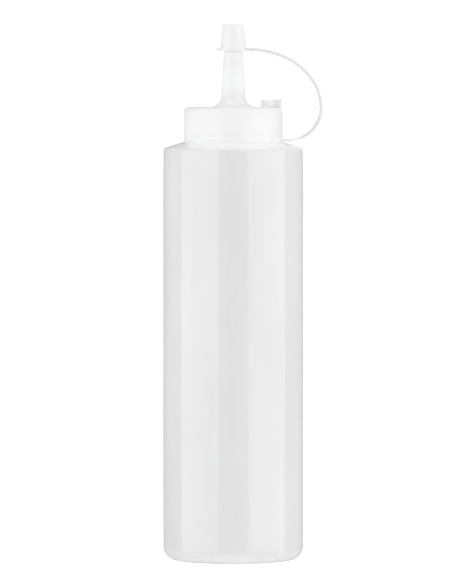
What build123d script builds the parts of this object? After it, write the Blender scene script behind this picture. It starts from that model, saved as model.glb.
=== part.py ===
from build123d import *
from math import asin, atan2, cos, degrees, radians, sin, tan
import os

# A food-service squeeze bottle with a screw-on nozzle closure and a tethered tip cap.
#
# Millimetres. The origin is the centre of the ring that the bottle stands on, +Z is up along the
# bottle's axis, and the tether strap bows out towards +X.
#
#   bottle          blow-moulded shell: pushed-up base, straight wall, cone shoulder, threaded neck
#   nozzle_closure  one moulding: threaded skirt, top plate, tapered nozzle, parking post, plug ring
#   tether_ring     snaps round the foot of the skirt, so the closure turns inside it
#   tether_strap    flat flexible strap from the ring up to the tip cap
#   tip_cap         tapered cap on the nozzle, with a pin in the outlet and a pull tab

# --- Bottle ---
body_radius = 35.0
body_wall = 0.9
base_wall = 1.2
base_corner = 7.0
standing_ring_inner_radius = 27.0
push_up = 2.5
crease_z = 205.05
crease_corner = 1.2
shoulder_angle = 17.6
neck_foot_corner = 0.8
mouth_radius = 19.6
rim_z = 224.0
rim_corner = 0.4

# --- Screw thread, one ridge on the neck and one inside the skirt ---
neck_root_radius = 20.9
ridge_height = 1.1
ridge_foot_width = 2.2
ridge_crest_width = 1.0
crest_gap = 0.6
flank_gap = 0.45
threads_per_inch = 6
thread_turns = 1.5
neck_thread_z = 215.0
ridge_sink = 0.2
run_out_angle = 20.0
run_out_cut_length = 12.0
run_out_cut_depth = 8.0

# --- Closure ---
skirt_radius = 24.5
plate_thickness = 1.5
plate_corner = 2.0
skirt_foot_z = 209.65
plug_clearance = 0.3
plug_wall = 1.2
plug_depth = 2.4

# --- Nozzle ---
nozzle_foot_radius = 6.3
nozzle_foot_fillet = 6.0
nozzle_tip_radius = 3.9
nozzle_tip_z = 264.6
nozzle_tip_corner = 0.4
bore_foot_radius = 4.6
bore_foot_fillet = 5.5
outlet_radius = 1.8

# --- Parking post for the tip cap ---
post_radius = 4.8
post_lip_radius = 5.05
post_lip_height = 1.2
post_lip_corner = 0.3
post_centre_x = 18.85
post_top_z = 229.5
post_hole_radius = 2.0
post_hole_depth = 3.6

# --- Tether ring and its snap groove ---
ring_foot_z = 208.7
ring_top_z = 211.0
ring_inner_radius = 23.6
ring_clearance = 0.1
rib_z = 210.35
rib_height = 0.25
rib_half_width = 0.25
lug_length = 1.2
lug_overlap = 0.2
strap_width = 4.5

# --- Strap centreline: a short straight run, a quarter circle, a quarter ellipse ---
strap_thickness = 1.5
strap_root_thickness = 1.0
strap_root_z = 209.2
strap_turn_radius = 16.0
strap_far_x = 43.75

# --- Tip cap ---
cap_foot_z = 253.5
cap_top_z = 266.95
cap_top_radius = 5.2
cap_foot_radius = 6.45
cap_top_corner = 0.9
cap_rim_radius = 6.6
cap_rim_height = 1.35
cap_mouth_clearance = 0.2
cap_mouth_depth = 4.2
cap_seat_radius = 4.75
cap_ceiling_radius = 4.25
cap_ceiling_z = 265.3
pin_radius = 1.35
pin_length = 2.7
pin_chamfer = 0.4
tab_reach = 8.6
tab_width = 5.0
tab_thickness = 1.1
tab_rise = 0.35
tab_corner = 1.6
tab_bend_x = 7.0
tab_root_depth = 0.8

# --- Worked out from the dimensions above ---
shoulder_slope = tan(radians(shoulder_angle))
neck_foot_z = crease_z + (body_radius - neck_root_radius) * shoulder_slope
skirt_inner_radius = neck_root_radius + ridge_height + crest_gap
plate_z = rim_z + plate_thickness
thread_pitch = 25.4 / threads_per_inch
flank_overlap = (ridge_height - crest_gap) / ridge_height
flank_width = (ridge_foot_width - ridge_crest_width) / 2
closure_thread_z = neck_thread_z - ridge_crest_width - flank_width * flank_overlap - flank_gap
spigot_radius = ring_inner_radius - ring_clearance
plug_radius = mouth_radius - plug_clearance
strap_turn_x = strap_far_x - strap_turn_radius
strap_turn_z = strap_root_z + strap_turn_radius
strap_top_z = cap_foot_z + strap_thickness / 2
lug_end_x = skirt_radius + lug_length
cap_lug_end_x = cap_rim_radius + lug_length
cap_mouth_radius = post_lip_radius + cap_mouth_clearance
cap_root_x = cap_rim_radius - tab_root_depth

os.makedirs("parts", exist_ok=True)


def thread_ridge(root_radius, side, start_z):
    """A helical ridge on a wall of root_radius. side is 1 on the outside of a wall, -1 on the inside.
    Each end runs out in a slanted face, as a moulded thread's does."""
    foot = ridge_foot_width / 2
    crest = ridge_crest_width / 2
    wall = root_radius - side * ridge_sink
    tip = root_radius + side * ridge_height
    climb = thread_pitch * thread_turns
    helix = Helix(thread_pitch, climb, root_radius, center=(0, 0, start_z), mode=Mode.PRIVATE)
    with BuildPart() as ridge:
        with BuildSketch(Plane.XZ):
            Polygon(
                (wall, start_z - foot),
                (tip, start_z - crest),
                (tip, start_z + crest),
                (wall, start_z + foot),
                align=None,
            )
        sweep(path=helix, is_frenet=True)
        for end, turn in ((-1, 0.0), (1, thread_turns)):
            angle = radians(360 * turn)
            outward = Vector(cos(angle), sin(angle), 0) * side
            onward = Vector(-sin(angle), cos(angle), 0) * end
            run_out = radians(run_out_angle)
            along = onward * -cos(run_out) + outward * sin(run_out)
            point = Vector(cos(angle), sin(angle), 0) * root_radius
            point += Vector(0, 0, start_z + thread_pitch * turn)
            keep_side = Align.MIN if side * end > 0 else Align.MAX
            with Locations(Plane(origin=point, x_dir=along, z_dir=(0, 0, 1))):
                Box(
                    run_out_cut_length,
                    run_out_cut_depth,
                    thread_pitch - ridge_foot_width / 4,
                    align=(Align.CENTER, keep_side, Align.CENTER),
                    mode=Mode.SUBTRACT,
                )
    return ridge.part


neck_ridge = thread_ridge(neck_root_radius, 1, neck_thread_z)
closure_ridge = thread_ridge(skirt_inner_radius, -1, closure_thread_z)

# --- Bottle: outer form, less the inner form, plus the neck's thread ---
dome_radius = (standing_ring_inner_radius**2 + push_up**2) / (2 * push_up)
dome_angle = degrees(asin(standing_ring_inner_radius / dome_radius))
inner_radius = body_radius - body_wall
inner_corner = base_corner - body_wall
inner_crease_z = crease_z - body_wall * tan(radians(shoulder_angle / 2))
inner_neck_z = inner_crease_z + (inner_radius - mouth_radius) * shoulder_slope

with BuildPart() as bottle:
    with BuildSketch(Plane.XZ):
        with BuildLine():
            JernArc((0, push_up), (1, 0), dome_radius, -dome_angle)
            FilletPolyline(
                (standing_ring_inner_radius, 0),
                (body_radius, 0),
                (body_radius, crease_z),
                (neck_root_radius, neck_foot_z),
                (neck_root_radius, rim_z),
                (0, rim_z),
                radius=[base_corner, crease_corner, neck_foot_corner, rim_corner],
            )
            Line((0, rim_z), (0, push_up))
        make_face()
    revolve(axis=Axis.Z)
    with BuildSketch(Plane.XZ):
        with BuildLine():
            JernArc((0, push_up + base_wall), (1, 0), dome_radius, -dome_angle)
            FilletPolyline(
                (standing_ring_inner_radius, base_wall),
                (inner_radius, base_wall),
                (inner_radius, inner_crease_z),
                (mouth_radius, inner_neck_z),
                (mouth_radius, rim_z + 1),
                (0, rim_z + 1),
                radius=[inner_corner, crease_corner, neck_foot_corner, rim_corner],
            )
            Line((0, rim_z + 1), (0, push_up + base_wall))
        make_face()
    revolve(axis=Axis.Z, mode=Mode.SUBTRACT)
    add(neck_ridge)
bottle.part.label = "bottle"

# --- Nozzle closure ---
with BuildPart() as nozzle_closure:
    with BuildSketch(Plane.XZ):
        with BuildLine():
            FilletPolyline(
                (outlet_radius, nozzle_tip_z),
                (nozzle_tip_radius, nozzle_tip_z),
                (nozzle_foot_radius, plate_z),
                (skirt_radius, plate_z),
                (skirt_radius, ring_top_z + ring_clearance),
                radius=[nozzle_tip_corner, nozzle_foot_fillet, plate_corner],
            )
            Polyline(
                (skirt_radius, ring_top_z + ring_clearance),
                (spigot_radius, ring_top_z + ring_clearance),
                (spigot_radius, rib_z + rib_half_width + ring_clearance),
                (spigot_radius - rib_height, rib_z + ring_clearance),
                (spigot_radius - rib_height, rib_z - ring_clearance),
                (spigot_radius, rib_z - rib_half_width - ring_clearance),
                (spigot_radius, skirt_foot_z),
                (skirt_inner_radius, skirt_foot_z),
                (skirt_inner_radius, rim_z),
                (plug_radius, rim_z),
                (plug_radius, rim_z - plug_depth),
                (plug_radius - plug_wall, rim_z - plug_depth),
                (plug_radius - plug_wall, rim_z),
            )
            FilletPolyline(
                (plug_radius - plug_wall, rim_z),
                (bore_foot_radius, rim_z),
                (outlet_radius, nozzle_tip_z),
                radius=bore_foot_fillet,
            )
        make_face()
    revolve(axis=Axis.Z)
    add(closure_ridge)
    post_plane = Plane(origin=(post_centre_x, 0, 0), x_dir=(1, 0, 0), z_dir=(0, -1, 0))
    with BuildSketch(post_plane):
        with BuildLine():
            Polyline(
                (0, post_top_z - post_hole_depth),
                (0, plate_z - plate_thickness / 2),
                (post_radius, plate_z - plate_thickness / 2),
                (post_radius, post_top_z - post_lip_height),
            )
            FilletPolyline(
                (post_radius, post_top_z - post_lip_height),
                (post_lip_radius, post_top_z - post_lip_height / 2),
                (post_lip_radius, post_top_z),
                (post_hole_radius, post_top_z),
                (post_hole_radius, post_top_z - post_hole_depth),
                (0, post_top_z - post_hole_depth),
                radius=post_lip_corner,
            )
        make_face()
    revolve(axis=Axis(origin=(post_centre_x, 0, 0), direction=(0, 0, 1)))
nozzle_closure.part.label = "nozzle_closure"

# --- Tether ring, with the lug that the strap grows from ---
ring_underside_rise = (skirt_radius - ring_inner_radius) * shoulder_slope

with BuildPart() as tether_ring:
    with BuildSketch(Plane.XY.offset(strap_root_z - strap_root_thickness / 2)):
        with Locations((lug_end_x, 0)):
            Rectangle(lug_length + lug_overlap, strap_width, align=(Align.MAX, Align.CENTER))
    extrude(amount=strap_root_thickness)
    with BuildSketch(Plane.XZ):
        Polygon(
            (ring_inner_radius, ring_foot_z + ring_underside_rise),
            (skirt_radius, ring_foot_z),
            (skirt_radius, ring_top_z),
            (ring_inner_radius, ring_top_z),
            (ring_inner_radius, rib_z + rib_half_width),
            (ring_inner_radius - rib_height, rib_z),
            (ring_inner_radius, rib_z - rib_half_width),
            align=None,
        )
    revolve(axis=Axis.Z)
tether_ring.part.label = "tether_ring"

# --- Tether strap: two outlines, half a thickness either side of the centreline ---
half = strap_thickness / 2
root_half = strap_root_thickness / 2
ellipse_width = strap_far_x - cap_lug_end_x
ellipse_height = strap_top_z - strap_turn_z

with BuildPart() as tether_strap:
    with BuildSketch(Plane.XZ):
        with BuildLine():
            for offset, root in ((half, root_half), (-half, -root_half)):
                Line((lug_end_x, strap_root_z - root), (strap_turn_x, strap_root_z - offset))
                CenterArc((strap_turn_x, strap_turn_z), strap_turn_radius + offset, -90, 90)
                EllipticalCenterArc(
                    (cap_lug_end_x, strap_turn_z),
                    ellipse_width + offset,
                    ellipse_height + offset,
                    start_angle=0,
                    arc_size=90,
                )
            Line((lug_end_x, strap_root_z - root_half), (lug_end_x, strap_root_z + root_half))
            Line((cap_lug_end_x, strap_top_z - half), (cap_lug_end_x, strap_top_z + half))
        make_face()
    extrude(amount=strap_width / 2, both=True)
tether_strap.part.label = "tether_strap"

# --- Tip cap ---
with BuildPart() as tip_cap:
    with BuildSketch(Plane.XZ):
        with BuildLine():
            FilletPolyline(
                (0, cap_top_z),
                (cap_top_radius, cap_top_z),
                (cap_foot_radius, cap_foot_z + cap_rim_height),
                radius=cap_top_corner,
            )
            Polyline(
                (cap_foot_radius, cap_foot_z + cap_rim_height),
                (cap_rim_radius, cap_foot_z + cap_rim_height),
                (cap_rim_radius, cap_foot_z),
                (cap_mouth_radius, cap_foot_z),
                (cap_mouth_radius, cap_foot_z + cap_mouth_depth),
                (cap_seat_radius, cap_foot_z + cap_mouth_depth),
                (cap_ceiling_radius, cap_ceiling_z),
                (pin_radius, cap_ceiling_z),
                (pin_radius, cap_ceiling_z - pin_length + pin_chamfer),
                (pin_radius - pin_chamfer, cap_ceiling_z - pin_length),
                (0, cap_ceiling_z - pin_length),
                (0, cap_top_z),
            )
        make_face()
    revolve(axis=Axis.Z)
    # The strap's lug, and the pull tab with its lifted lip.
    with BuildSketch(Plane.XZ):
        Polygon(
            (cap_root_x, cap_foot_z),
            (cap_lug_end_x, cap_foot_z),
            (cap_lug_end_x, cap_foot_z + strap_thickness),
            (cap_root_x, cap_foot_z + strap_thickness),
            align=None,
        )
    extrude(amount=strap_width / 2, both=True)
    with BuildSketch(Plane.XZ):
        Polygon(
            (-cap_root_x, cap_foot_z),
            (-tab_bend_x, cap_foot_z),
            (-tab_reach, cap_foot_z + tab_rise),
            (-tab_reach, cap_foot_z + tab_rise + tab_thickness),
            (-tab_bend_x, cap_foot_z + tab_thickness),
            (-cap_root_x, cap_foot_z + tab_thickness),
            align=None,
        )
    extrude(amount=tab_width / 2, both=True)
    tab_end = tip_cap.edges().filter_by(Axis.Z).group_by(Axis.X)[0]
    fillet(tab_end, tab_corner)
tip_cap.part.label = "tip_cap"

for piece in (bottle, nozzle_closure, tether_ring, tether_strap, tip_cap):
    export_step(piece.part, f"parts/{piece.part.label}.step")
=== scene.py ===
import bpy
import bmesh
import math
from mathutils import Matrix, Vector


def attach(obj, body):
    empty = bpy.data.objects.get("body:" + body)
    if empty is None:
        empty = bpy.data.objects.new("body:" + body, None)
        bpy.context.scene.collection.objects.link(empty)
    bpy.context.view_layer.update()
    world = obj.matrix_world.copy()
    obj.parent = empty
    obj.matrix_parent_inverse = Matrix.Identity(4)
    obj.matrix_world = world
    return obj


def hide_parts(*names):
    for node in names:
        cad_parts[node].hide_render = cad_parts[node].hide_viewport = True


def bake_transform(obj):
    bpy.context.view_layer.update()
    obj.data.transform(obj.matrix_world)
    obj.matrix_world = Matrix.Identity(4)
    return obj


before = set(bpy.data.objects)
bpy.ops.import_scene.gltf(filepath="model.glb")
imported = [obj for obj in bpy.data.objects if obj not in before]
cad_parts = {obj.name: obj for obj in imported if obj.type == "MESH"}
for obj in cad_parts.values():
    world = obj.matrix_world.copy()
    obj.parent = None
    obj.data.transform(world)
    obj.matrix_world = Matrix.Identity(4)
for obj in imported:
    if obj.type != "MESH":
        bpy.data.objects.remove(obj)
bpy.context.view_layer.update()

MM = 0.001
TAU = 2 * math.pi

# ---------------------------------------------------------------------------
# Dimensions, in millimetres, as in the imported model
# ---------------------------------------------------------------------------
# Bottle. Its parting line brings BODY_R out to the model's MODEL_R.
BODY_R = 34.93
MODEL_R = 35
WALL = 0.9
HEEL_R = 7.0
STANDING_R = 27.0
PUSH_UP = 2.5
BASE_WALL = 1.2
WELD_END = 18.0
CREASE_Z = 205.05
CREASE_CORNER = 1.2
SHOULDER_ANGLE = 17.6
SHOULDER = math.tan(math.radians(SHOULDER_ANGLE))
NECK_R = 20.9
NECK_FOOT_Z = CREASE_Z + (MODEL_R - NECK_R) * SHOULDER
NECK_FOOT_CORNER = 0.8
MOUTH_R = 19.6
RIM_Z = 224.0
RIM_CORNER = 0.4

# Thread, on the neck and inside the skirt
RIDGE_H = 1.1
RIDGE_FOOT = 2.2
RIDGE_CREST = 1.0
PITCH = 25.4 / 6
TURNS = 1.5
NECK_THREAD_Z = 215.0
CLOSURE_THREAD_Z = 213.277

# Snap rib inside the tether's ring, and the clearance of the closure's groove for it
RIB_Z = 210.35
RIB_H = 0.25
RIB_HALF_W = 0.25
RING_GAP = 0.02

# Closure
SKIRT_R = 24.5
SKIRT_IN_R = 22.6
SKIRT_FOOT_Z = 209.65
PLATE_Z = 225.5
PLATE_CORNER = 2.0
SPIGOT_R = 23.5
NOZZLE_FOOT_R = 6.3
NOZZLE_FLARE = 6.0
NOZZLE_TIP_R = 3.9
NOZZLE_TIP_Z = 264.6
BORE_TIP_R = 1.8
BORE_FOOT_R = 4.6
BORE_FLARE = 5.5
PLUG_R = 19.3
PLUG_IN_R = 18.1
PLUG_FOOT_Z = 221.6
POST_X = 18.85
POST_TOP_Z = 229.5
POST_FOOT_Z = 224.8
POST_R = 4.8
POST_LIP_R = 5.05
POST_HOLE_R = 2.0
POST_HOLE_DEPTH = 3.6

# Tether
RING_TOP_Z = 211.0
RING_FOOT_Z = 208.4
RING_IN_R = 23.6
STRAP_W = 4.5
STRAP_T = 1.5
STRAP_CORNER = 0.32
STRAP_THICKNESS = (       # share of the way along, and thickness there
    (0, 1.0), (0.12, 1.3), (0.25, 1.65), (0.35, 1.46), (0.45, 1.48), (0.8, 1.6), (1.0, 1.35),
)
STRAP_ROOT_X = 24.2
STRAP_ROOT_Z = 209.2
STRAP_TURN_R = 16.0
STRAP_FAR_X = 43.75
STRAP_END_X = 6.2
LUG_END_X = 25.7
CAP_LUG_END_X = 7.8

# Tip cap
CAP_FOOT_Z = 253.5
CAP_TOP_Z = 266.95
CAP_TOP_R = 5.2
CAP_FOOT_R = 6.6
CAP_MOUTH_R = 5.25
CAP_SEAT_Z = 257.7
CAP_ROOF_Z = 265.3
PIN_R = 1.35
PIN_END_R = 0.95
PIN_END_Z = 262.6
TAB_ROOT_X = 5.7
TAB_END_X = 8.6
TAB_HALF_W = 2.5
TAB_T = 1.1
TAB_CORNER = 1.6
TAB_END_FLAT = 0.02
TAB_EDGE = 0.25
TAB_BEND_X = 6.9
TAB_LIFT = 0.6
TAB_STEPS = 22

THREAD_STEP = 0.22        # height between the rows of a threaded face
SHARP_ANGLE = math.radians(38)


# ---------------------------------------------------------------------------
# Outline helpers: all work on lists of (radius, height) in millimetres
# ---------------------------------------------------------------------------
def rounded(corners, radii, step=0.35):
    """A polyline through the corners, each inner corner rounded to its radius in the list."""
    out = [Vector(corners[0])]
    for i in range(1, len(corners) - 1):
        before, here, after = (Vector(corners[i + k]) for k in (-1, 0, 1))
        radius = radii[i - 1]
        into = (here - before).normalized()
        away = (after - here).normalized()
        turn = into.angle(away)
        if radius <= 0 or turn < 1e-4:
            out.append(here)
            continue
        cut = radius * math.tan(turn / 2)
        start = here - into * cut
        side = 1 if into.x * away.y - into.y * away.x > 0 else -1
        centre = start + Vector((-into.y, into.x)) * radius * side
        count = max(4, int(radius * turn / step))
        for k in range(count + 1):
            a = turn * k / count * side
            arm = start - centre
            out.append(centre + Vector((
                arm.x * math.cos(a) - arm.y * math.sin(a),
                arm.x * math.sin(a) + arm.y * math.cos(a),
            )))
    out.append(Vector(corners[-1]))
    return [(p.x, p.y) for p in out]


def dense(line, longest):
    """The same polyline with its long runs divided."""
    out = [line[0]]
    for a, b in zip(line, line[1:]):
        length = math.dist(a, b)
        if length < 1e-6:
            continue
        count = max(1, math.ceil(length / longest))
        for k in range(1, count + 1):
            t = k / count
            out.append((a[0] + (b[0] - a[0]) * t, a[1] + (b[1] - a[1]) * t))
    return out


def lathe(name, line, segments, loop, shift=None):
    """Turns an outline round the Z axis into a closed mesh. A point on the axis becomes a pole.
    shift(angle, r, z, index) returns the radius and height to use instead."""
    bm = bmesh.new()
    rings = []
    for index, (r, z) in enumerate(line):
        if r < 1e-6:
            pole_z = shift(0, 0, z, index)[1] if shift else z
            rings.append([bm.verts.new((0, 0, pole_z * MM))])
            continue
        ring = []
        for k in range(segments):
            a = TAU * k / segments
            rr, zz = shift(a, r, z, index) if shift else (r, z)
            ring.append(bm.verts.new((rr * math.cos(a) * MM, rr * math.sin(a) * MM, zz * MM)))
        rings.append(ring)
    pairs = list(zip(rings, rings[1:]))
    if loop:
        pairs.append((rings[-1], rings[0]))
    for low, high in pairs:
        for k in range(segments):
            n = (k + 1) % segments
            if len(low) == 1 and len(high) == 1:
                break
            if len(low) == 1:
                bm.faces.new((low[0], high[n], high[k]))
            elif len(high) == 1:
                bm.faces.new((low[k], low[n], high[0]))
            else:
                bm.faces.new((low[k], low[n], high[n], high[k]))
    bmesh.ops.recalc_face_normals(bm, faces=bm.faces)
    return from_bmesh(name, bm)


def from_bmesh(name, bm):
    mesh = bpy.data.meshes.new(name)
    bm.to_mesh(mesh)
    bm.free()
    mesh.shade_smooth()
    mesh.set_sharp_from_angle(angle=SHARP_ANGLE)
    obj = bpy.data.objects.new(name, mesh)
    bpy.context.scene.collection.objects.link(obj)
    return obj


def closed_tube(name, sections):
    """A closed mesh through sections, each a list of points in millimetres."""
    bm = bmesh.new()
    rows = [[bm.verts.new((x * MM, y * MM, z * MM)) for x, y, z in section] for section in sections]
    count = len(rows[0])
    for low, high in zip(rows, rows[1:]):
        for k in range(count):
            n = (k + 1) % count
            bm.faces.new((low[k], low[n], high[n], high[k]))
    bm.faces.new(rows[0][::-1])
    bm.faces.new(rows[-1])
    bmesh.ops.recalc_face_normals(bm, faces=bm.faces)
    return from_bmesh(name, bm)


def joined(body, part, name):
    """The body with the part fused to it by an exact Boolean."""
    union = body.modifiers.new("join", "BOOLEAN")
    union.operation = "UNION"
    union.solver = "EXACT"
    union.object = part
    bpy.context.view_layer.update()
    deps = bpy.context.evaluated_depsgraph_get()
    mesh = bpy.data.meshes.new_from_object(body.evaluated_get(deps))
    body.modifiers.clear()
    body.data = mesh
    bpy.data.objects.remove(part)
    mesh.shade_smooth()
    mesh.set_sharp_from_angle(angle=SHARP_ANGLE)
    body.name = name
    return body


def ridge(a, z, start_z):
    """How far, 0 to 1, a helical thread ridge stands proud at this angle and height."""
    run_on, run_out = 0.02, 0.05        # turns past each end, and turns in which the ridge fades there
    best = 0.0
    for turn in range(-1, 3):
        along = a / TAU + turn
        if not -run_on <= along <= TURNS + run_on:
            continue
        off = abs(z - start_z - PITCH * along)
        flank = (RIDGE_FOOT / 2 - off) / ((RIDGE_FOOT - RIDGE_CREST) / 2)
        ends = min((along + run_on) / run_out, (TURNS + run_on - along) / run_out)
        best = max(best, min(1, flank, ends))
    return max(0.0, best)


# ---------------------------------------------------------------------------
# Materials
# ---------------------------------------------------------------------------
TINT = (0.997, 1.0, 0.999)    # the faint cool cast of unpigmented polyethylene


def moulded_plastic(name, deep, pale, rough, specular, through, coat, coat_rough, bump, streak,
                    painted_light_and_shade=(), painted_light_axis="Z"):
    """Milky polyethylene: soft clouds in the wall, fine drawn streaks and a faint skin texture.
    The tone profile is pairs of (millimetres along an axis of the object, share of the full tone there);
    it paints light and shade into the colour."""
    mat = bpy.data.materials.new(name)
    mat.use_nodes = True
    nt = mat.node_tree
    n, link = nt.nodes, nt.links
    n.clear()
    out = n.new("ShaderNodeOutputMaterial")
    bsdf = n.new("ShaderNodeBsdfPrincipled")
    link.new(bsdf.outputs[0], out.inputs[0])
    coord = n.new("ShaderNodeTexCoord")

    def noise(scale, stretch, detail):
        mapping = n.new("ShaderNodeMapping")
        mapping.inputs["Scale"].default_value = stretch
        link.new(coord.outputs["Object"], mapping.inputs["Vector"])
        tex = n.new("ShaderNodeTexNoise")
        tex.inputs["Scale"].default_value = scale
        tex.inputs["Detail"].default_value = detail
        tex.inputs["Roughness"].default_value = 0.5
        link.new(mapping.outputs[0], tex.inputs["Vector"])
        return tex

    clouds = noise(28, (1, 1, 0.55), 3)
    streaks = noise(160, (1, 1, streak), 3)
    skin = noise(900, (1, 1, 1), 2)

    blend = n.new("ShaderNodeMix")
    blend.data_type = "FLOAT"
    blend.inputs[0].default_value = 0.35
    link.new(clouds.outputs["Fac"], blend.inputs[2])
    link.new(streaks.outputs["Fac"], blend.inputs[3])
    ramp = n.new("ShaderNodeValToRGB")
    ramp.color_ramp.elements[0].position = 0.36
    ramp.color_ramp.elements[0].color = (deep * TINT[0], deep * TINT[1], deep * TINT[2], 1)
    ramp.color_ramp.elements[1].position = 0.64
    ramp.color_ramp.elements[1].color = (pale * TINT[0], pale * TINT[1], pale * TINT[2], 1)
    link.new(blend.outputs[0], ramp.inputs[0])
    colour = ramp.outputs[0]
    # A tone profile along one axis of the object: painted light and shade, multiplied into the colour.
    if painted_light_and_shade:
        place = n.new("ShaderNodeSeparateXYZ")
        link.new(coord.outputs["Object"], place.inputs[0])
        low, high = painted_light_and_shade[0][0], painted_light_and_shade[-1][0]
        along = n.new("ShaderNodeMapRange")
        along.inputs["From Min"].default_value = low * MM
        along.inputs["From Max"].default_value = high * MM
        link.new(place.outputs[painted_light_axis], along.inputs["Value"])
        share = n.new("ShaderNodeValToRGB")
        stops = share.color_ramp.elements
        while len(stops) < len(painted_light_and_shade):
            stops.new(1.0)
        for stop, (at, value) in zip(stops, painted_light_and_shade):
            stop.position = (at - low) / (high - low)
            stop.color = (value, value, value, 1)
        link.new(along.outputs[0], share.inputs[0])
        painted_light_multiply = n.new("ShaderNodeVectorMath")
        painted_light_multiply.operation = "MULTIPLY"
        link.new(colour, painted_light_multiply.inputs[0])
        link.new(share.outputs[0], painted_light_multiply.inputs[1])
        colour = painted_light_multiply.outputs[0]
    link.new(colour, bsdf.inputs["Base Color"])

    rough_map = n.new("ShaderNodeMapRange")
    rough_map.inputs["From Min"].default_value = 0.3
    rough_map.inputs["From Max"].default_value = 0.7
    rough_map.inputs["To Min"].default_value = rough - 0.04
    rough_map.inputs["To Max"].default_value = rough + 0.05
    link.new(streaks.outputs["Fac"], rough_map.inputs["Value"])
    link.new(rough_map.outputs[0], bsdf.inputs["Roughness"])

    coarse = n.new("ShaderNodeBump")
    coarse.inputs["Strength"].default_value = bump
    coarse.inputs["Distance"].default_value = 0.0004
    link.new(streaks.outputs["Fac"], coarse.inputs["Height"])
    fine = n.new("ShaderNodeBump")
    fine.inputs["Strength"].default_value = bump * 0.6
    fine.inputs["Distance"].default_value = 0.00006
    link.new(skin.outputs["Fac"], fine.inputs["Height"])
    link.new(coarse.outputs[0], fine.inputs["Normal"])
    link.new(fine.outputs[0], bsdf.inputs["Normal"])

    bsdf.inputs["IOR"].default_value = 1.5
    bsdf.inputs["Specular IOR Level"].default_value = specular
    bsdf.inputs["Transmission Weight"].default_value = through
    bsdf.inputs["Coat Weight"].default_value = coat
    bsdf.inputs["Coat Roughness"].default_value = coat_rough
    return mat


# Tone profiles that paint light and shade into the colour: height in mm and share of the full tone
# there.
# They were adjusted until the render's tones met the photograph's, so they paint in how thick plastic
# scatters light and, in part, the photograph's own shading.
# Painted light: the shoulder, above the crease, lighter than the wall below it.
WALL_PAINTED_LIGHT = ((CREASE_Z - 0.7, 0.775), (CREASE_Z + 0.8, 0.98))
# Painted light: the collar lighter towards its foot, where the shoulder shades it; the nozzle lighter
# just above the plate; and the nozzle lighter again under the tip cap's foot, where the cap shades it.
CLOSURE_PAINTED_LIGHT = (
    (209.5, 1.0), (212.0, 0.97), (214.0, 0.935), (218.0, 0.897), (223.0, 0.862), (225.3, 0.871),
    (226.5, 0.915), (232.0, 0.985), (236.0, 0.98), (247.0, 0.872), (249.5, 0.885), (251.5, 0.95),
    (252.6, 0.99), (267.0, 0.99),
)
# Painted light: the strap lighter at its root, in the shade between collar and shoulder.
STRAP_PAINTED_LIGHT = ((209.5, 1.0), (210.3, 0.80), (212.0, 0.71), (225.0, 0.71))
# Painted light: the ring lighter at its foot, in the crease where it meets the shoulder.
RING_PAINTED_LIGHT = ((208.5, 1.0), (209.4, 0.82), (210.8, 0.83))
# Painted light and shade: the post lighter on its side towards the nozzle, which shades it, and darker
# on its outer side, which the right lamp lights.
POST_PAINTED_LIGHT_AND_SHADE = ((13.8, 1.0), (18.2, 0.99), (19.6, 0.89), (21.0, 0.72), (23.7, 0.64))  # along X

wall_plastic = moulded_plastic(
    "natural_polyethylene_wall", deep=0.916, pale=0.961,
    rough=0.36, specular=0.1, through=0.3, coat=1.0, coat_rough=0.03, bump=0.1, streak=0.05,
    painted_light_and_shade=WALL_PAINTED_LIGHT,
)
milky_plastic = moulded_plastic(
    "natural_polyethylene_closure", deep=0.878, pale=0.899,
    rough=0.36, specular=0.3, through=0.2, coat=0.12, coat_rough=0.12, bump=0.06, streak=1.0,
    painted_light_and_shade=CLOSURE_PAINTED_LIGHT,
)
cap_plastic = moulded_plastic(
    "natural_polyethylene_cap", deep=0.740, pale=0.758,
    rough=0.36, specular=0.3, through=0.2, coat=0.12, coat_rough=0.12, bump=0.06, streak=1.0,
)
# The post's plastic, with painted light and shade across it from side to side.
solid_plastic = moulded_plastic(
    "natural_polyethylene_solid", deep=0.965, pale=0.985,
    rough=0.36, specular=0.3, through=0.15, coat=0.12, coat_rough=0.12, bump=0.06, streak=1.0,
    painted_light_and_shade=POST_PAINTED_LIGHT_AND_SHADE, painted_light_axis="X",
)
ring_plastic = moulded_plastic(
    "natural_polyethylene_ring", deep=0.90, pale=0.92,
    rough=0.36, specular=0.5, through=0.0, coat=0.25, coat_rough=0.12, bump=0.06, streak=1.0,
    painted_light_and_shade=RING_PAINTED_LIGHT,
)
strap_plastic = moulded_plastic(
    "natural_polyethylene_tether", deep=0.90, pale=0.93,
    rough=0.4, specular=0.2, through=0.15, coat=0.2, coat_rough=0.2, bump=0.01, streak=0.3,
    painted_light_and_shade=STRAP_PAINTED_LIGHT,
)


def finish_piece(obj, body, slot_name, material, *nodes):
    """Gives a piece its material and the body that it rides on, and hides the CAD nodes it replaces. The
    slot name is not used.
    """
    obj.data.materials.clear()
    obj.data.materials.append(material)
    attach(obj, body)
    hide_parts(*nodes)
    return obj


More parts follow.
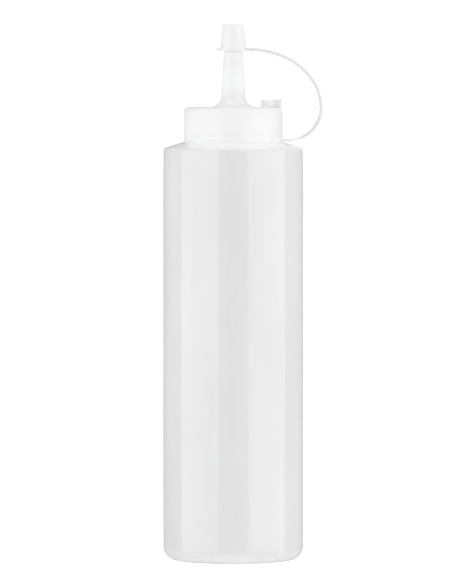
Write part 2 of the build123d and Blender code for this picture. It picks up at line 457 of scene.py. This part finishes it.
# ---------------------------------------------------------------------------
# Bottle
# ---------------------------------------------------------------------------
def bottle_line():
    """The shell's outside and inside, each from the axis out along the base and up to the rim."""
    dome_steps = 18
    dome_r = (STANDING_R**2 + PUSH_UP**2) / (2 * PUSH_UP)
    outer = []
    for k in range(dome_steps + 1):
        x = STANDING_R * k / dome_steps
        outer.append((x, PUSH_UP - dome_r + math.sqrt(dome_r**2 - x**2)))
    floor_line = [(x, z + BASE_WALL) for x, z in outer]
    shell = rounded(
        [(STANDING_R, 0), (BODY_R, 0), (BODY_R, CREASE_Z), (NECK_R, NECK_FOOT_Z), (NECK_R, RIM_Z),
         (MOUTH_R, RIM_Z)],
        [HEEL_R, CREASE_CORNER, NECK_FOOT_CORNER, RIM_CORNER],
    )
    # the neck carries the thread, so its rows are close together
    thread_from = NECK_FOOT_Z + 0.6
    wall_end = [p for p in shell if p[1] < thread_from]
    neck = [p for p in shell if p[1] >= thread_from]
    outer += dense(wall_end, 2.5)[1:]
    outer += dense([wall_end[-1]] + neck, THREAD_STEP)[1:]
    in_r = BODY_R - WALL
    in_crease = CREASE_Z - WALL * math.tan(math.radians(SHOULDER_ANGLE / 2))
    in_neck = in_crease + (in_r - MOUTH_R) * SHOULDER
    inner = rounded(
        [(STANDING_R, BASE_WALL), (in_r, BASE_WALL), (in_r, in_crease), (MOUTH_R, in_neck),
         (MOUTH_R, RIM_Z)],
        [HEEL_R - WALL, CREASE_CORNER, NECK_FOOT_CORNER],
    )
    return outer, dense(floor_line[:-1] + inner, 10)


def make_bottle():
    outer, inner = bottle_line()
    line = outer + inner[::-1][1:]
    split = len(outer)
    wall_foot, wall_top = 3, CREASE_Z - 2
    seam_w, seam_h = 0.22, 0.07
    weld_w, weld_h = 0.6, 0.35

    def shift(a, r, z, index):
        if index >= split:
            return r, z
        # the mould's two halves meet in the XZ plane: a faint line up each side of the wall, and the
        # weld left across the base where the tube was pinched off
        if r > SKIRT_R and z > wall_foot:
            drawn_in = 0.3 * min(1, max(0, (z - 160) / 40)) ** 2 * min(1, (r - SKIRT_R) / 10)
            if z < wall_top:
                fade = min(1, (z - wall_foot) / 6, (wall_top - z) / 6)
                wave = 0.05 * math.sin(2 * a + z / 31) + 0.035 * math.sin(3 * a - z / 19 + 1)
                seam = math.exp(-(math.sin(a) * r / seam_w) ** 2)
                r += (wave - 0.085) * fade * 0.6 + seam_h * seam
            r -= drawn_in
        elif r < WELD_END and z < PUSH_UP + 1:
            weld = math.exp(-(math.sin(a) * r / weld_w) ** 2) * min(1, (WELD_END - r) / 2)
            z -= weld_h * weld
        elif r > MOUTH_R + 1 and z > NECK_FOOT_Z + 1:
            r += RIDGE_H * ridge(a, z, NECK_THREAD_Z)
        return r, z

    return lathe("bottle_shell", line, 320, False, shift)


finish_piece(make_bottle(), "bottle", "bottle", wall_plastic, "bottle")


# ---------------------------------------------------------------------------
# Nozzle closure
# ---------------------------------------------------------------------------
def make_closure():
    gap, groove_r = RING_GAP, SPIGOT_R - RIB_H
    outside = rounded(
        [(BORE_TIP_R, NOZZLE_TIP_Z), (NOZZLE_TIP_R, NOZZLE_TIP_Z), (NOZZLE_FOOT_R, PLATE_Z),
         (SKIRT_R, PLATE_Z), (SKIRT_R, RING_TOP_Z + gap)],
        [0.4, NOZZLE_FLARE, PLATE_CORNER],
    )
    # the groove that the tether's ring snaps into
    snap = [
        (SPIGOT_R, RING_TOP_Z + gap), (SPIGOT_R, RIB_Z + RIB_HALF_W + gap), (groove_r, RIB_Z + gap),
        (groove_r, RIB_Z - gap), (SPIGOT_R, RIB_Z - RIB_HALF_W - gap), (SPIGOT_R, SKIRT_FOOT_Z),
        (SKIRT_IN_R, SKIRT_FOOT_Z),
    ]
    threaded = dense([(SKIRT_IN_R, SKIRT_FOOT_Z), (SKIRT_IN_R, RIM_Z - 0.02)], THREAD_STEP)[1:]
    under = [
        (SKIRT_IN_R, RIM_Z), (PLUG_R, RIM_Z), (PLUG_R, PLUG_FOOT_Z), (PLUG_IN_R, PLUG_FOOT_Z),
        (PLUG_IN_R, RIM_Z),
    ]
    bore = rounded(
        [(PLUG_IN_R, RIM_Z), (BORE_FOOT_R, RIM_Z), (BORE_TIP_R, NOZZLE_TIP_Z)], [BORE_FLARE],
    )[1:-1]
    first = dense(outside, 1.2) + snap
    line = first + threaded + under + dense(bore, 1.5)
    low, high = len(first), len(first) + len(threaded)

    def shift(a, r, z, index):
        if low <= index < high:
            r -= RIDGE_H * ridge(a, z, CLOSURE_THREAD_Z)
        return r, z

    body = lathe("closure_body", line, 256, True, shift)
    hole_foot_z = POST_TOP_Z - POST_HOLE_DEPTH
    post_line = rounded(
        [(0, hole_foot_z), (POST_HOLE_R, hole_foot_z), (POST_HOLE_R, POST_TOP_Z),
         (POST_LIP_R, POST_TOP_Z), (POST_LIP_R, POST_TOP_Z - 0.9), (POST_R, POST_TOP_Z - 1.3),
         (POST_R, POST_FOOT_Z), (0, POST_FOOT_Z)],
        [0.3, 0.25, 0.35, 0.2, 0.2, 0.05], 0.1,
    )
    post = lathe("post", post_line, 96, False)
    post.data.transform(Matrix.Translation((POST_X * MM, 0, 0)))
    return joined(body, post, "closure_moulding")


closure = finish_piece(make_closure(), "closure", "closure", milky_plastic, "nozzle_closure")
# The post's faces take the plastic with painted light and shade across the post.
closure.data.materials.append(solid_plastic)
for face in closure.data.polygons:
    on_post = face.center.x > (POST_X - POST_LIP_R - 0.25) * MM
    if on_post and face.center.z > (PLATE_Z + 0.02) * MM:
        face.material_index = 1


# ---------------------------------------------------------------------------
# Tether: ring, strap and tip cap
# ---------------------------------------------------------------------------
def make_ring():
    rise = (SKIRT_R - RING_IN_R) * SHOULDER
    line = rounded(
        [(RING_IN_R, 209.8), (RING_IN_R, RING_FOOT_Z + rise), (SKIRT_R, RING_FOOT_Z),
         (SKIRT_R, RING_TOP_Z), (RING_IN_R, RING_TOP_Z), (RING_IN_R, RIB_Z + RIB_HALF_W),
         (RING_IN_R - RIB_H, RIB_Z), (RING_IN_R, RIB_Z - RIB_HALF_W)],
        [0.1, 0.02, 0.04, 0.1, 0, 0], 0.03,
    )
    return lathe("tether_snap_ring", line, 256, True)


finish_piece(make_ring(), "tether_ring", "tether", ring_plastic, "tether_ring")


def strap_path():
    """The strap's centreline in XZ, from the ring to the cap: a quarter circle and a quarter ellipse."""
    turn_steps, rise_steps = 48, 72
    turn_x, turn_z = STRAP_FAR_X - STRAP_TURN_R, STRAP_ROOT_Z + STRAP_TURN_R
    top_z = CAP_FOOT_Z + STRAP_T / 2
    points = [(STRAP_ROOT_X, STRAP_ROOT_Z), (LUG_END_X, STRAP_ROOT_Z)]
    for k in range(1, turn_steps + 1):
        a = math.radians(-90 + 90 * k / turn_steps)
        points.append((turn_x + STRAP_TURN_R * math.cos(a), turn_z + STRAP_TURN_R * math.sin(a)))
    for k in range(1, rise_steps + 1):
        a = math.radians(90 * k / rise_steps)
        points.append((
            CAP_LUG_END_X + (STRAP_FAR_X - CAP_LUG_END_X) * math.cos(a),
            turn_z + (top_z - turn_z) * math.sin(a),
        ))
    points.append((STRAP_END_X, top_z))
    return points


def strap_thickness(along):
    """The strap's thickness at a share of the way along, eased between the listed places."""
    for (a, low), (b, high) in zip(STRAP_THICKNESS, STRAP_THICKNESS[1:]):
        if along <= b:
            t = (along - a) / (b - a)
            return low + (high - low) * t * t * (3 - 2 * t)
    return STRAP_THICKNESS[-1][1]


def make_strap():
    path = [Vector((x, z)) for x, z in strap_path()]
    lengths = [0.0]
    for a, b in zip(path, path[1:]):
        lengths.append(lengths[-1] + (b - a).length)
    sections = []
    for i, p in enumerate(path):
        before, after = path[max(0, i - 1)], path[min(len(path) - 1, i + 1)]
        along = (after - before).normalized()
        up = Vector((-along.y, along.x))
        half_t, half_w = strap_thickness(lengths[i] / lengths[-1]) / 2, STRAP_W / 2
        section = []
        for first, sx, sy in ((0, 1, 1), (90, -1, 1), (180, -1, -1), (270, 1, -1)):
            for k in range(5):
                a = math.radians(22.5 * k + first)
                w = sx * (half_w - STRAP_CORNER) + STRAP_CORNER * math.cos(a)
                q = p + up * (sy * (half_t - STRAP_CORNER) + STRAP_CORNER * math.sin(a))
                section.append((q.x, w, q.y))
        sections.append(section)
    return closed_tube("tether_strap_band", sections)


strap = make_strap()
strap.data.materials.append(strap_plastic)
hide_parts("tether_strap")
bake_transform(strap)


def make_tab():
    """The pull tab, rounded at its end and lifted a little."""
    sections = []
    for i in range(TAB_STEPS + 1):
        x = TAB_ROOT_X + (TAB_END_X - TAB_ROOT_X) * math.sin(math.pi / 2 * i / TAB_STEPS)
        foot = CAP_FOOT_Z + TAB_LIFT * max(0, (x - TAB_BEND_X) / (TAB_END_X - TAB_BEND_X))
        half = TAB_HALF_W
        past = x - (TAB_END_X - TAB_CORNER)
        if past > 0:
            half = TAB_HALF_W - TAB_CORNER + math.sqrt(max(TAB_END_FLAT**2, TAB_CORNER**2 - past**2))
        inset = half - TAB_EDGE
        sections.append([(-x, w, foot + h) for w, h in (
            (inset, TAB_T), (half, TAB_T - TAB_EDGE), (half, TAB_EDGE), (inset, 0),
            (-inset, 0), (-half, TAB_EDGE), (-half, TAB_T - TAB_EDGE), (-inset, TAB_T),
        )])
    return closed_tube("tab", sections)


def make_cap():
    line = rounded(
        [(0, CAP_TOP_Z), (CAP_TOP_R, CAP_TOP_Z), (6.45, 254.85), (CAP_FOOT_R, 254.65),
         (CAP_FOOT_R, CAP_FOOT_Z), (CAP_MOUTH_R, CAP_FOOT_Z), (CAP_MOUTH_R, CAP_SEAT_Z),
         (4.75, CAP_SEAT_Z), (4.25, CAP_ROOF_Z), (PIN_R, CAP_ROOF_Z), (PIN_R, PIN_END_Z + 0.4),
         (PIN_END_R, PIN_END_Z), (0, PIN_END_Z)],
        [0.9, 0.3, 0.2, 0.25, 0.2, 0.1, 0.15, 0.3, 0.2, 0.1, 0.1], 0.12,
    )
    return joined(lathe("cap_turned", dense(line, 0.8), 128, False), make_tab(), "tip_cap_moulding")


finish_piece(make_cap(), "tip_cap", "tether", cap_plastic, "tip_cap")


# ---------------------------------------------------------------------------
# Floor, light and camera
# ---------------------------------------------------------------------------
FLOOR_GLOW = 0.75
FLOOR_RADIUS = 7.0
FLOOR_ALBEDO = 0.95
BACKDROP_GLOW = 1.05
BACKDROP_HEIGHT = 4.0
ROUND_STEPS = 96


def stage_piece(name, bm, glow, albedo):
    """A stage surface with its own even glow. Reflections and light inside the plastic don't see it."""
    obj = from_bmesh(name, bm)
    mat = bpy.data.materials.new(name)
    mat.use_nodes = True
    bsdf = mat.node_tree.nodes["Principled BSDF"]
    bsdf.inputs["Base Color"].default_value = (albedo, albedo, albedo, 1)
    bsdf.inputs["Roughness"].default_value = 0.9
    bsdf.inputs["Specular IOR Level"].default_value = 0.0
    bsdf.inputs["Emission Color"].default_value = (1, 1, 1, 1)
    bsdf.inputs["Emission Strength"].default_value = glow
    mat.cycles.emission_sampling = "NONE"
    obj.data.materials.append(mat)
    obj.visible_glossy = False
    obj.visible_transmission = False
    return obj


def round_stage(rings):
    """A round surface through rings of (radius, height), in metres."""
    bm = bmesh.new()
    rows = []
    for r, z in rings:
        if r == 0:
            rows.append([bm.verts.new((0, 0, z))])
            continue
        angles = [TAU * k / ROUND_STEPS for k in range(ROUND_STEPS)]
        rows.append([bm.verts.new((r * math.cos(a), r * math.sin(a), z)) for a in angles])
    for low, high in zip(rows, rows[1:]):
        for k in range(ROUND_STEPS):
            n = (k + 1) % ROUND_STEPS
            if len(low) == 1:
                bm.faces.new((low[0], high[k], high[n]))
            else:
                bm.faces.new((low[k], low[n], high[n], high[k]))
    return bm


floor_rings = [(0, 0), (0.2, 0), (1.0, 0), (FLOOR_RADIUS, 0)]
stage_piece("floor", round_stage(floor_rings), FLOOR_GLOW, FLOOR_ALBEDO)
backdrop_rings = [(FLOOR_RADIUS, 0), (FLOOR_RADIUS, BACKDROP_HEIGHT)]
backdrop = stage_piece("backdrop", round_stage(backdrop_rings), BACKDROP_GLOW, 0.0)
backdrop.visible_diffuse = False
backdrop.visible_shadow = False


def softbox(name, place, aim, width, height, radiance):
    """A rectangular softbox, its radiance in the units of a white surface under the studio's light."""
    lamp = bpy.data.lights.new(name, "AREA")
    lamp.shape = "RECTANGLE"
    lamp.size, lamp.size_y = width, height
    lamp.energy = radiance * math.pi * width * height
    obj = bpy.data.objects.new(name, lamp)
    obj.location = place
    obj.rotation_euler = (Vector(aim) - Vector(place)).to_track_quat("-Z", "Y").to_euler()
    obj.visible_camera = False
    bpy.context.scene.collection.objects.link(obj)
    return obj


def side_card(name, side, first, last, distance, radiance, foot, top):
    """An upright card that spans two angles, in degrees, from straight in front of the object (-Y).
    Only gloss sees it."""
    middle = math.radians((first + last) / 2)
    half = distance * math.tan(math.radians((last - first) / 2))
    centre = Vector((side * math.sin(middle), -math.cos(middle), 0)) * distance
    across = Vector((math.cos(middle), side * math.sin(middle), 0)) * half
    bm = bmesh.new()
    corners = [centre - across, centre + across]
    low = [bm.verts.new((p.x, p.y, foot)) for p in corners]
    high = [bm.verts.new((p.x, p.y, top)) for p in corners]
    bm.faces.new((low[0], low[1], high[1], high[0]))
    card = stage_piece(name, bm, radiance, 0.0)
    card.visible_camera = False
    card.visible_diffuse = False
    card.visible_shadow = False
    card.visible_glossy = True


# Cards: angles in degrees from straight in front, distances and heights in metres
KEY_SPAN = (24, 92)
KEY_DISTANCE = 0.45
KEY_SHINE = 1.9
EDGE_SPAN = (92, 181)
EDGE_DISTANCE = 0.8
EDGE_SHINE = 0.56
EDGE_FOOT = -1.2
CARD_FOOT = -0.15
CARD_SPLIT = 0.25
CARD_TOP = 1.5
WEDGE_SHINE = {"left": 0.5, "right": 0.85}

# Lamps: the right one is a little stronger
SIDE_LIGHT = {"left": 0.51, "right": 0.61}
SIDE_ANGLE = 85
SIDE_DISTANCE = 0.6
SIDE_HEIGHT = 0.75
TOP_LIGHT = 1.65
TOP_PLACE = (0, -0.3, 1.05)
WORLD_LIGHT = 0.72

for side, label in ((-1, "left"), (1, "right")):
    wedge_shine = WEDGE_SHINE[label]
    side_card("shine_" + label, side, *KEY_SPAN, KEY_DISTANCE, KEY_SHINE, CARD_FOOT, CARD_TOP)
    side_card("edge_" + label, side, *EDGE_SPAN, EDGE_DISTANCE, EDGE_SHINE, EDGE_FOOT, CARD_SPLIT)
    side_card("wedge_" + label, side, *EDGE_SPAN, EDGE_DISTANCE, wedge_shine, CARD_SPLIT, CARD_TOP)
    turn = math.radians(SIDE_ANGLE)
    place = (side * SIDE_DISTANCE * math.sin(turn), -SIDE_DISTANCE * math.cos(turn), SIDE_HEIGHT)
    lamp = softbox("side_" + label, place, (0, 0, SIDE_HEIGHT), 1.1, 1.5, SIDE_LIGHT[label])
    lamp.visible_glossy = False
softbox("top", TOP_PLACE, (0, 0, 0.2), 0.9, 0.7, TOP_LIGHT)

world = bpy.data.worlds.new("studio")
bpy.context.scene.world = world
world.use_nodes = True
world.cycles.sampling_method = "NONE"
world.node_tree.nodes["Background"].inputs[0].default_value = (1, 1, 1, 1)
world.node_tree.nodes["Background"].inputs[1].default_value = WORLD_LIGHT

IMAGE_WIDTH, IMAGE_HEIGHT = 450, 577
SENSOR = 36
LENS = 394.4
camera_data = bpy.data.cameras.new("camera")
camera_data.sensor_fit = "VERTICAL"
camera_data.sensor_height = SENSOR
camera_data.sensor_width = SENSOR * IMAGE_WIDTH / IMAGE_HEIGHT
camera_data.lens = LENS
camera_data.clip_start = 0.1
camera_data.clip_end = 50
camera = bpy.data.objects.new("camera", camera_data)
bpy.context.scene.collection.objects.link(camera)
eye = Vector((-0.0041, -3.145, 0.2515))
aim = Vector((-0.0041, 0, 0.1353))
camera.location = eye
camera.rotation_euler = (aim - eye).to_track_quat("-Z", "Y").to_euler()
bpy.context.scene.camera = camera

bpy.context.scene.view_settings.view_transform = "Standard"
bpy.context.scene.view_settings.look = "None"
